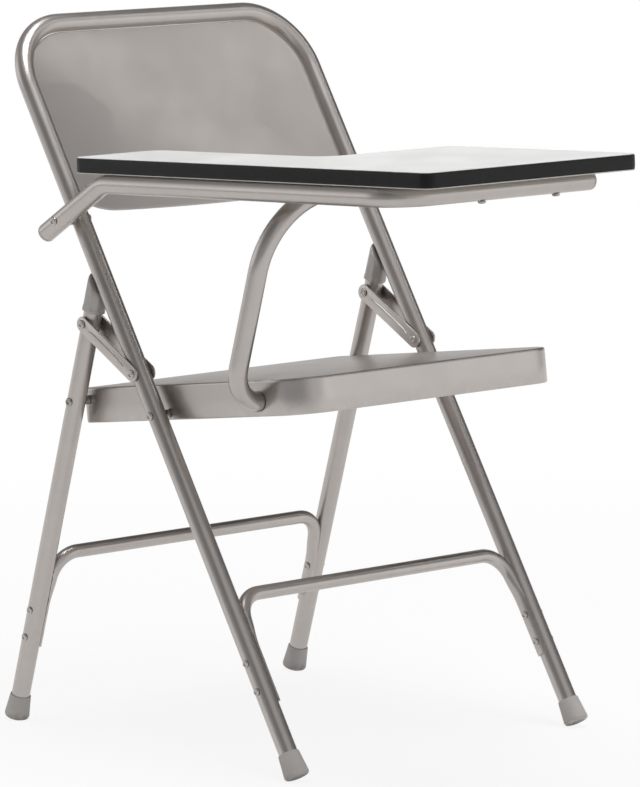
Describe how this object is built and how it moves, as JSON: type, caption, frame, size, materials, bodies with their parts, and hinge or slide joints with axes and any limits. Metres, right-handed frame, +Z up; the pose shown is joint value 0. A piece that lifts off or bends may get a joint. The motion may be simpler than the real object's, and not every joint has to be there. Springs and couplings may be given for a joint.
{
  "type": "folding tablet arm chair",
  "caption": "Tubular steel folding chair with a pressed seat and back and a right-hand writing tablet on a pivoting tube arm with a strut.",
  "frame": {"origin": "middle of the overall box in plan, on the floor", "axes": "+Z up, the sitter faces -Y, the tablet is on the -X side"},
  "size_m": [0.5142, 0.7614, 0.8408],
  "materials": {
    "paint": "satin warm grey enamel",
    "foot_rubber": "matte grey rubber",
    "grey_plastic": "satin grey plastic",
    "board": "particle board",
    "laminate": "pale satin laminate",
    "backer": "pale matte backer sheet",
    "edge": "black edge band",
    "plain_steel": "plated steel"
  },
  "bodies": {
    "frame": {"front_frame": "paint", "backrest_panel": "paint", "front_brace": "paint", "front_brace_rivets": "paint", "front_foot_cap_right": "foot_rubber", "front_foot_cap_left": "foot_rubber", "post_link_rivets": "paint", "seat_pivot_rivets": "paint", "seat_pivot_bushes": "plain_steel", "arm_rivet": "paint", "arm_spacer": "plain_steel"},
    "seat": {"seat_pan": "paint"},
    "hinge_links": {"hinge_link_outer_right": "paint", "hinge_link_outer_left": "paint", "hinge_link_inner_right": "paint", "hinge_link_inner_left": "paint", "leg_link_rivets": "paint"},
    "rear_legs": {"rear_leg_right": "paint", "rear_leg_left": "paint", "rear_leg_cap_right": "grey_plastic", "rear_leg_cap_left": "grey_plastic", "rear_brace": "paint", "rear_brace_rivets": "paint", "rear_foot_cap_right": "foot_rubber", "rear_foot_cap_left": "foot_rubber", "seat_rear_stubs": "plain_steel"},
    "strut": {"strut_tube": "paint", "strut_keeper": "plain_steel", "strut_end_plugs": "grey_plastic"},
    "arm": {"arm_tube": "paint", "arm_end_plugs": "grey_plastic", "tablet_core": "board", "tablet_laminate": "laminate", "tablet_backer": "backer", "tablet_edge_band": "edge", "tablet_screws": "plain_steel", "strut_rest_plate": "plain_steel"}
  },
  "joints": [
    {"name": "seat_fold", "type": "hinge", "parent": "frame", "child": "seat", "pos_m": [0.01335, 0.10312, 0.3943], "axis": [-1, 0, 0], "range_deg": [0, 100]},
    {"name": "link_fold", "type": "hinge", "parent": "frame", "child": "hinge_links", "pos_m": [0.01335, 0.13147, 0.44061], "axis": [-1, 0, 0], "range_deg": [0, 122.92]},
    {"name": "leg_fold", "type": "hinge", "parent": "hinge_links", "child": "rear_legs", "pos_m": [0.01335, 0.21866, 0.49068], "axis": [-1, 0, 0], "range_deg": [-78.8, 0]},
    {"name": "strut_swing", "type": "hinge", "parent": "seat", "child": "strut", "pos_m": [0.01335, -0.05108, 0.42482], "axis": [-1, 0, 0], "range_deg": [-232.55, 0]},
    {"name": "arm_lift", "type": "hinge", "parent": "frame", "child": "arm", "pos_m": [0.01335, 0.2363, 0.61187], "axis": [-1, 0, 0], "range_deg": [0, 30]}
  ],
  "couplings": [
    {"joint": "link_fold", "follows": "seat_fold", "ratio": 1.2287},
    {"joint": "leg_fold", "follows": "seat_fold", "ratio": -0.78747},
    {"joint": "strut_swing", "follows": "seat_fold", "ratio": -2.325}
  ]
}
